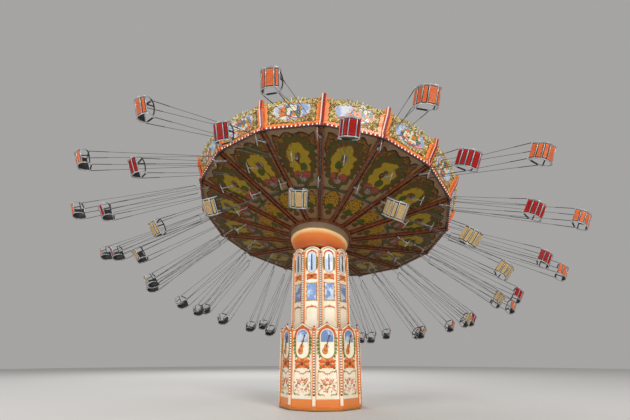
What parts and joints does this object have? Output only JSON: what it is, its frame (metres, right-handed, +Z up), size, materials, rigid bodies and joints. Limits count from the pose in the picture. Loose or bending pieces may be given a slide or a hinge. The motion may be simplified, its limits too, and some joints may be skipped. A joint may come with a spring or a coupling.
{
  "type": "chair swing ride",
  "caption": "Ornate travelling swing ride: a telescoping cased tower carries a tilted turning crown with painted ceiling and three rows of hanging chairs flown outward",
  "frame": {"origin": "ground level at the tower's axis, on the flat underside of the foundation", "axes": "+Z up along the tower; -Y towards the viewer; the crown is tilted with its raised side towards -Y, a little to -X"},
  "size_m": [17.4013, 16.98, 9.3562],
  "materials": {
    "dark_steel": "satin",
    "grey_steel": "satin",
    "cream_panel": "gloss",
    "orange_panel": "gloss",
    "painted_ceiling": "satin",
    "brown_ribs": "satin",
    "roof_cover": "matt",
    "seat_outer": "satin",
    "seat_middle": "satin",
    "seat_inner": "satin"
  },
  "bodies": {
    "base": {"foundation_frame": "dark_steel", "lower_casing": "cream_panel"},
    "lift": {"lift_mast": "grey_steel"},
    "tower": {"turning_head": "dark_steel", "upper_casing": "cream_panel"},
    "tilt": {"tilt_head": "dark_steel"},
    "crown": {"hub_bell": "orange_panel", "sweep_frame": "grey_steel", "ceiling": "painted_ceiling", "ceiling_ribs": "brown_ribs", "rounding_boards": "orange_panel", "roof_cover": "roof_cover"},
    "chair_outer_01": {"chair_outer_01": "seat_outer"},
    "chair_outer_02": {"chair_outer_02": "seat_outer"},
    "chair_outer_03": {"chair_outer_03": "seat_outer"},
    "chair_outer_04": {"chair_outer_04": "seat_outer"},
    "chair_outer_05": {"chair_outer_05": "seat_outer"},
    "chair_outer_06": {"chair_outer_06": "seat_outer"},
    "chair_outer_07": {"chair_outer_07": "seat_outer"},
    "chair_outer_08": {"chair_outer_08": "seat_outer"},
    "chair_outer_09": {"chair_outer_09": "seat_outer"},
    "chair_outer_10": {"chair_outer_10": "seat_outer"},
    "chair_outer_11": {"chair_outer_11": "seat_outer"},
    "chair_outer_12": {"chair_outer_12": "seat_outer"},
    "chair_outer_13": {"chair_outer_13": "seat_outer"},
    "chair_outer_14": {"chair_outer_14": "seat_outer"},
    "chair_outer_15": {"chair_outer_15": "seat_outer"},
    "chair_outer_16": {"chair_outer_16": "seat_outer"},
    "chair_middle_01": {"chair_middle_01": "seat_middle"},
    "chair_middle_02": {"chair_middle_02": "seat_middle"},
    "chair_middle_03": {"chair_middle_03": "seat_middle"},
    "chair_middle_04": {"chair_middle_04": "seat_middle"},
    "chair_middle_05": {"chair_middle_05": "seat_middle"},
    "chair_middle_06": {"chair_middle_06": "seat_middle"},
    "chair_middle_07": {"chair_middle_07": "seat_middle"},
    "chair_middle_08": {"chair_middle_08": "seat_middle"},
    "chair_middle_09": {"chair_middle_09": "seat_middle"},
    "chair_middle_10": {"chair_middle_10": "seat_middle"},
    "chair_middle_11": {"chair_middle_11": "seat_middle"},
    "chair_middle_12": {"chair_middle_12": "seat_middle"},
    "chair_middle_13": {"chair_middle_13": "seat_middle"},
    "chair_middle_14": {"chair_middle_14": "seat_middle"},
    "chair_middle_15": {"chair_middle_15": "seat_middle"},
    "chair_middle_16": {"chair_middle_16": "seat_middle"},
    "chair_inner_01": {"chair_inner_01": "seat_inner"},
    "chair_inner_02": {"chair_inner_02": "seat_inner"},
    "chair_inner_03": {"chair_inner_03": "seat_inner"},
    "chair_inner_04": {"chair_inner_04": "seat_inner"},
    "chair_inner_05": {"chair_inner_05": "seat_inner"},
    "chair_inner_06": {"chair_inner_06": "seat_inner"},
    "chair_inner_07": {"chair_inner_07": "seat_inner"},
    "chair_inner_08": {"chair_inner_08": "seat_inner"},
    "chair_inner_09": {"chair_inner_09": "seat_inner"},
    "chair_inner_10": {"chair_inner_10": "seat_inner"},
    "chair_inner_11": {"chair_inner_11": "seat_inner"},
    "chair_inner_12": {"chair_inner_12": "seat_inner"},
    "chair_inner_13": {"chair_inner_13": "seat_inner"},
    "chair_inner_14": {"chair_inner_14": "seat_inner"},
    "chair_inner_15": {"chair_inner_15": "seat_inner"},
    "chair_inner_16": {"chair_inner_16": "seat_inner"}
  },
  "joints": [
    {"name": "mast_lift", "type": "slide", "parent": "base", "child": "lift", "axis": [0, 0, 1], "range_m": [-1.7, 0]},
    {"name": "tower_turn", "type": "hinge", "parent": "lift", "child": "tower", "pos_m": [0, 0, 4.55], "axis": [0, 0, 1], "continuous": true},
    {"name": "crown_tilt", "type": "hinge", "parent": "tower", "child": "tilt", "pos_m": [0, 0, 6.11], "axis": [-0.9252, 0.3795, 0], "range_deg": [-16.75, 0]},
    {"name": "crown_spin", "type": "hinge", "parent": "tilt", "child": "crown", "pos_m": [0, 0, 6.11], "axis": [0.1094, 0.2666, 0.9576], "continuous": true},
    {"name": "chair_outer_01_swing", "type": "hinge", "parent": "crown", "child": "chair_outer_01", "pos_m": [0.02657, -4.3268, 7.9055], "axis": [-0.9737, 0.2227, 0.0492], "range_deg": [-57.73, 0]},
    {"name": "chair_outer_02_swing", "type": "hinge", "parent": "crown", "child": "chair_outer_02", "pos_m": [1.79803, -4.05131, 7.62648], "axis": [-0.979, -0.1377, 0.1502], "range_deg": [-59.31, 0]},
    {"name": "chair_outer_03_swing", "type": "hinge", "parent": "crown", "child": "chair_outer_03", "pos_m": [3.30523, -3.13596, 7.19947], "axis": [-0.8394, -0.4913, 0.2327], "range_deg": [-61.46, 0]},
    {"name": "chair_outer_04_swing", "type": "hinge", "parent": "crown", "child": "chair_outer_04", "pos_m": [4.31869, -1.72012, 6.68948], "axis": [-0.5612, -0.7786, 0.2809], "range_deg": [-63.87, 0]},
    {"name": "chair_outer_05_swing", "type": "hinge", "parent": "crown", "child": "chair_outer_05", "pos_m": [4.68415, -0.01932, 6.17415], "axis": [-0.1808, -0.9419, 0.2829], "range_deg": [-66.2, 0]},
    {"name": "chair_outer_06_swing", "type": "hinge", "parent": "crown", "child": "chair_outer_06", "pos_m": [4.34595, 1.70749, 5.73193], "axis": [0.2377, -0.9424, 0.2353], "range_deg": [-68.11, 0]},
    {"name": "chair_outer_07_swing", "type": "hinge", "parent": "crown", "child": "chair_outer_07", "pos_m": [3.35558, 3.19744, 5.43014], "axis": [0.6165, -0.7739, 0.1451], "range_deg": [-69.32, 0]},
    {"name": "chair_outer_08_swing", "type": "hinge", "parent": "crown", "child": "chair_outer_08", "pos_m": [1.86382, 4.22368, 5.31475], "axis": [0.8836, -0.4673, 0.0292], "range_deg": [-69.63, 0]},
    {"name": "chair_outer_09_swing", "type": "hinge", "parent": "crown", "child": "chair_outer_09", "pos_m": [0.09778, 4.62998, 5.40329], "axis": [0.9925, -0.083, -0.0902], "range_deg": [-68.99, 0]},
    {"name": "chair_outer_10_swing", "type": "hinge", "parent": "crown", "child": "chair_outer_10", "pos_m": [-1.67369, 4.35449, 5.68232], "axis": [0.9322, 0.3069, -0.1919], "range_deg": [-67.47, 0]},
    {"name": "chair_outer_11_swing", "type": "hinge", "parent": "crown", "child": "chair_outer_11", "pos_m": [-3.18088, 3.43914, 6.10933], "axis": [0.7258, 0.6368, -0.2602], "range_deg": [-65.3, 0]},
    {"name": "chair_outer_12_swing", "type": "hinge", "parent": "crown", "child": "chair_outer_12", "pos_m": [-4.19435, 2.0233, 6.61932], "axis": [0.4187, 0.8614, -0.2877], "range_deg": [-62.8, 0]},
    {"name": "chair_outer_13_swing", "type": "hinge", "parent": "crown", "child": "chair_outer_13", "pos_m": [-4.5598, 0.3225, 7.13465], "axis": [0.0639, 0.9595, -0.2745], "range_deg": [-60.37, 0]},
    {"name": "chair_outer_14_swing", "type": "hinge", "parent": "crown", "child": "chair_outer_14", "pos_m": [-4.2216, -1.40431, 7.57687], "axis": [-0.2893, 0.9302, -0.226], "range_deg": [-58.4, 0]},
    {"name": "chair_outer_15_swing", "type": "hinge", "parent": "crown", "child": "chair_outer_15", "pos_m": [-3.23123, -2.89426, 7.87865], "axis": [-0.601, 0.785, -0.15], "range_deg": [-57.21, 0]},
    {"name": "chair_outer_16_swing", "type": "hinge", "parent": "crown", "child": "chair_outer_16", "pos_m": [-1.73948, -3.9205, 7.99405], "axis": [-0.8389, 0.5415, -0.055], "range_deg": [-56.99, 0]},
    {"name": "chair_middle_01_swing", "type": "hinge", "parent": "crown", "child": "chair_middle_01", "pos_m": [0.76858, -3.58779, 7.44723], "axis": [-0.9929, -0.0153, 0.1177], "range_deg": [-55.97, 0]},
    {"name": "chair_middle_02_swing", "type": "hinge", "parent": "crown", "child": "chair_middle_02", "pos_m": [2.16466, -3.08072, 7.14659], "axis": [-0.9029, -0.3763, 0.2079], "range_deg": [-58.02, 0]},
    {"name": "chair_middle_03_swing", "type": "hinge", "parent": "crown", "child": "chair_middle_03", "pos_m": [3.23797, -2.08809, 6.74761], "axis": [-0.683, -0.6797, 0.2673], "range_deg": [-60.15, 0]},
    {"name": "chair_middle_04_swing", "type": "hinge", "parent": "crown", "child": "chair_middle_04", "pos_m": [3.82513, -0.761, 6.31102], "axis": [-0.3664, -0.8847, 0.2882], "range_deg": [-62.04, 0]},
    {"name": "chair_middle_05_swing", "type": "hinge", "parent": "crown", "child": "chair_middle_05", "pos_m": [3.83673, 0.6985, 5.90329], "axis": [0.0026, -0.9634, 0.268], "range_deg": [-63.41, 0]},
    {"name": "chair_middle_06_swing", "type": "hinge", "parent": "crown", "child": "chair_middle_06", "pos_m": [3.27102, 2.06821, 5.58649], "axis": [0.3732, -0.9039, 0.2091], "range_deg": [-64.04, 0]},
    {"name": "chair_middle_07_swing", "type": "hinge", "parent": "crown", "child": "chair_middle_07", "pos_m": [2.21411, 3.13962, 5.40885], "axis": [0.6923, -0.7117, 0.1191], "range_deg": [-63.85, 0]},
    {"name": "chair_middle_08_swing", "type": "hinge", "parent": "crown", "child": "chair_middle_08", "pos_m": [0.82692, 3.74961, 5.39742], "axis": [0.9114, -0.4113, 0.0104], "range_deg": [-62.86, 0]},
    {"name": "chair_middle_09_swing", "type": "hinge", "parent": "crown", "child": "chair_middle_09", "pos_m": [-0.67937, 3.80531, 5.55393], "axis": [0.9939, -0.0446, -0.1011], "range_deg": [-61.22, 0]},
    {"name": "chair_middle_10_swing", "type": "hinge", "parent": "crown", "child": "chair_middle_10", "pos_m": [-2.07545, 3.29824, 5.85457], "axis": [0.9219, 0.3331, -0.198], "range_deg": [-59.18, 0]},
    {"name": "chair_middle_11_swing", "type": "hinge", "parent": "crown", "child": "chair_middle_11", "pos_m": [-3.14876, 2.30561, 6.25355], "axis": [0.7024, 0.661, -0.2643], "range_deg": [-57.04, 0]},
    {"name": "chair_middle_12_swing", "type": "hinge", "parent": "crown", "child": "chair_middle_12", "pos_m": [-3.73591, 0.97852, 6.69014], "axis": [0.3681, 0.884, -0.2882], "range_deg": [-55.14, 0]},
    {"name": "chair_middle_13_swing", "type": "hinge", "parent": "crown", "child": "chair_middle_13", "pos_m": [-3.74752, -0.48098, 7.09787], "axis": [-0.0263, 0.9638, -0.2654], "range_deg": [-53.76, 0]},
    {"name": "chair_middle_14_swing", "type": "hinge", "parent": "crown", "child": "chair_middle_14", "pos_m": [-3.18181, -1.85069, 7.41467], "axis": [-0.4151, 0.8876, -0.1997], "range_deg": [-53.12, 0]},
    {"name": "chair_middle_15_swing", "type": "hinge", "parent": "crown", "child": "chair_middle_15", "pos_m": [-2.1249, -2.9221, 7.59231], "axis": [-0.7345, 0.6708, -0.1029], "range_deg": [-53.31, 0]},
    {"name": "chair_middle_16_swing", "type": "hinge", "parent": "crown", "child": "chair_middle_16", "pos_m": [-0.73771, -3.53209, 7.60374], "axis": [-0.9359, 0.3523, 0.0088], "range_deg": [-54.31, 0]},
    {"name": "chair_inner_01_swing", "type": "hinge", "parent": "crown", "child": "chair_inner_01", "pos_m": [-0.00174, -2.89418, 7.12326], "axis": [-0.9926, 0.0811, 0.0908], "range_deg": [-42.94, 0]},
    {"name": "chair_inner_02_swing", "type": "hinge", "parent": "crown", "child": "chair_inner_02", "pos_m": [1.164, -2.71288, 6.93964], "axis": [-0.9371, -0.2936, 0.1888], "range_deg": [-45.04, 0]},
    {"name": "chair_inner_03_swing", "type": "hinge", "parent": "crown", "child": "chair_inner_03", "pos_m": [2.15583, -2.11053, 6.65864], "axis": [-0.7373, -0.6244, 0.2581], "range_deg": [-48.09, 0]},
    {"name": "chair_inner_04_swing", "type": "hinge", "parent": "crown", "child": "chair_inner_04", "pos_m": [2.82276, -1.17881, 6.32303], "axis": [-0.4233, -0.8592, 0.2876], "range_deg": [-51.63, 0]},
    {"name": "chair_inner_05_swing", "type": "hinge", "parent": "crown", "child": "chair_inner_05", "pos_m": [3.06325, -0.05958, 5.98391], "axis": [-0.0437, -0.9611, 0.2726], "range_deg": [-55.13, 0]},
    {"name": "chair_inner_06_swing", "type": "hinge", "parent": "crown", "child": "chair_inner_06", "pos_m": [2.84069, 1.07678, 5.6929], "axis": [0.3424, -0.9145, 0.2155], "range_deg": [-58.05, 0]},
    {"name": "chair_inner_07_swing", "type": "hinge", "parent": "crown", "child": "chair_inner_07", "pos_m": [2.18897, 2.05726, 5.49431], "axis": [0.6752, -0.7269, 0.1253], "range_deg": [-59.94, 0]},
    {"name": "chair_inner_08_swing", "type": "hinge", "parent": "crown", "child": "chair_inner_08", "pos_m": [1.20729, 2.73259, 5.41837], "axis": [0.9037, -0.4279, 0.016], "range_deg": [-60.52, 0]},
    {"name": "chair_inner_09_swing", "type": "hinge", "parent": "crown", "child": "chair_inner_09", "pos_m": [0.04512, 2.99996, 5.47664], "axis": [0.9934, -0.064, -0.0956], "range_deg": [-59.7, 0]},
    {"name": "chair_inner_10_swing", "type": "hinge", "parent": "crown", "child": "chair_inner_10", "pos_m": [-1.12061, 2.81867, 5.66026], "axis": [0.9315, 0.3087, -0.1923], "range_deg": [-57.6, 0]},
    {"name": "chair_inner_11_swing", "type": "hinge", "parent": "crown", "child": "chair_inner_11", "pos_m": [-2.11245, 2.21631, 5.94126], "axis": [0.7287, 0.6337, -0.2597], "range_deg": [-54.55, 0]},
    {"name": "chair_inner_12_swing", "type": "hinge", "parent": "crown", "child": "chair_inner_12", "pos_m": [-2.77937, 1.2846, 6.27686], "axis": [0.4166, 0.8624, -0.2877], "range_deg": [-51.01, 0]},
    {"name": "chair_inner_13_swing", "type": "hinge", "parent": "crown", "child": "chair_inner_13", "pos_m": [-3.01986, 0.16536, 6.61599], "axis": [0.0428, 0.9612, -0.2725], "range_deg": [-47.51, 0]},
    {"name": "chair_inner_14_swing", "type": "hinge", "parent": "crown", "child": "chair_inner_14", "pos_m": [-2.79731, -0.97099, 6.907], "axis": [-0.3369, 0.9163, -0.2167], "range_deg": [-44.59, 0]},
    {"name": "chair_inner_15_swing", "type": "hinge", "parent": "crown", "child": "chair_inner_15", "pos_m": [-2.14558, -1.95147, 7.10559], "axis": [-0.6664, 0.7344, -0.1284], "range_deg": [-42.7, 0]},
    {"name": "chair_inner_16_swing", "type": "hinge", "parent": "crown", "child": "chair_inner_16", "pos_m": [-1.16391, -2.6268, 7.18153], "axis": [-0.8969, 0.4418, -0.0206], "range_deg": [-42.12, 0]}
  ],
  "couplings": [
    {"joint": "chair_outer_02_swing", "follows": "chair_outer_01_swing", "ratio": 1.0273},
    {"joint": "chair_outer_03_swing", "follows": "chair_outer_01_swing", "ratio": 1.0646},
    {"joint": "chair_outer_04_swing", "follows": "chair_outer_01_swing", "ratio": 1.1063},
    {"joint": "chair_outer_05_swing", "follows": "chair_outer_01_swing", "ratio": 1.1466},
    {"joint": "chair_outer_06_swing", "follows": "chair_outer_01_swing", "ratio": 1.1797},
    {"joint": "chair_outer_07_swing", "follows": "chair_outer_01_swing", "ratio": 1.2006},
    {"joint": "chair_outer_08_swing", "follows": "chair_outer_01_swing", "ratio": 1.2061},
    {"joint": "chair_outer_09_swing", "follows": "chair_outer_01_swing", "ratio": 1.1949},
    {"joint": "chair_outer_10_swing", "follows": "chair_outer_01_swing", "ratio": 1.1686},
    {"joint": "chair_outer_11_swing", "follows": "chair_outer_01_swing", "ratio": 1.131},
    {"joint": "chair_outer_12_swing", "follows": "chair_outer_01_swing", "ratio": 1.0878},
    {"joint": "chair_outer_13_swing", "follows": "chair_outer_01_swing", "ratio": 1.0457},
    {"joint": "chair_outer_14_swing", "follows": "chair_outer_01_swing", "ratio": 1.0116},
    {"joint": "chair_outer_15_swing", "follows": "chair_outer_01_swing", "ratio": 0.99099},
    {"joint": "chair_outer_16_swing", "follows": "chair_outer_01_swing", "ratio": 0.98705},
    {"joint": "chair_middle_01_swing", "follows": "chair_outer_01_swing", "ratio": 0.96935},
    {"joint": "chair_middle_02_swing", "follows": "chair_outer_01_swing", "ratio": 1.0049},
    {"joint": "chair_middle_03_swing", "follows": "chair_outer_01_swing", "ratio": 1.0418},
    {"joint": "chair_middle_04_swing", "follows": "chair_outer_01_swing", "ratio": 1.0746},
    {"joint": "chair_middle_05_swing", "follows": "chair_outer_01_swing", "ratio": 1.0983},
    {"joint": "chair_middle_06_swing", "follows": "chair_outer_01_swing", "ratio": 1.1093},
    {"joint": "chair_middle_07_swing", "follows": "chair_outer_01_swing", "ratio": 1.1059},
    {"joint": "chair_middle_08_swing", "follows": "chair_outer_01_swing", "ratio": 1.0888},
    {"joint": "chair_middle_09_swing", "follows": "chair_outer_01_swing", "ratio": 1.0604},
    {"joint": "chair_middle_10_swing", "follows": "chair_outer_01_swing", "ratio": 1.025},
    {"joint": "chair_middle_11_swing", "follows": "chair_outer_01_swing", "ratio": 0.98803},
    {"joint": "chair_middle_12_swing", "follows": "chair_outer_01_swing", "ratio": 0.95503},
    {"joint": "chair_middle_13_swing", "follows": "chair_outer_01_swing", "ratio": 0.93112},
    {"joint": "chair_middle_14_swing", "follows": "chair_outer_01_swing", "ratio": 0.92},
    {"joint": "chair_middle_15_swing", "follows": "chair_outer_01_swing", "ratio": 0.92339},
    {"joint": "chair_middle_16_swing", "follows": "chair_outer_01_swing", "ratio": 0.94073},
    {"joint": "chair_inner_01_swing", "follows": "chair_outer_01_swing", "ratio": 0.7438},
    {"joint": "chair_inner_02_swing", "follows": "chair_outer_01_swing", "ratio": 0.7801},
    {"joint": "chair_inner_03_swing", "follows": "chair_outer_01_swing", "ratio": 0.83296},
    {"joint": "chair_inner_04_swing", "follows": "chair_outer_01_swing", "ratio": 0.89433},
    {"joint": "chair_inner_05_swing", "follows": "chair_outer_01_swing", "ratio": 0.95489},
    {"joint": "chair_inner_06_swing", "follows": "chair_outer_01_swing", "ratio": 1.0054},
    {"joint": "chair_inner_07_swing", "follows": "chair_outer_01_swing", "ratio": 1.0382},
    {"joint": "chair_inner_08_swing", "follows": "chair_outer_01_swing", "ratio": 1.0483},
    {"joint": "chair_inner_09_swing", "follows": "chair_outer_01_swing", "ratio": 1.0341},
    {"joint": "chair_inner_10_swing", "follows": "chair_outer_01_swing", "ratio": 0.99774},
    {"joint": "chair_inner_11_swing", "follows": "chair_outer_01_swing", "ratio": 0.94486},
    {"joint": "chair_inner_12_swing", "follows": "chair_outer_01_swing", "ratio": 0.88345},
    {"joint": "chair_inner_13_swing", "follows": "chair_outer_01_swing", "ratio": 0.82289},
    {"joint": "chair_inner_14_swing", "follows": "chair_outer_01_swing", "ratio": 0.77238},
    {"joint": "chair_inner_15_swing", "follows": "chair_outer_01_swing", "ratio": 0.73962},
    {"joint": "chair_inner_16_swing", "follows": "chair_outer_01_swing", "ratio": 0.72959}
  ]
}
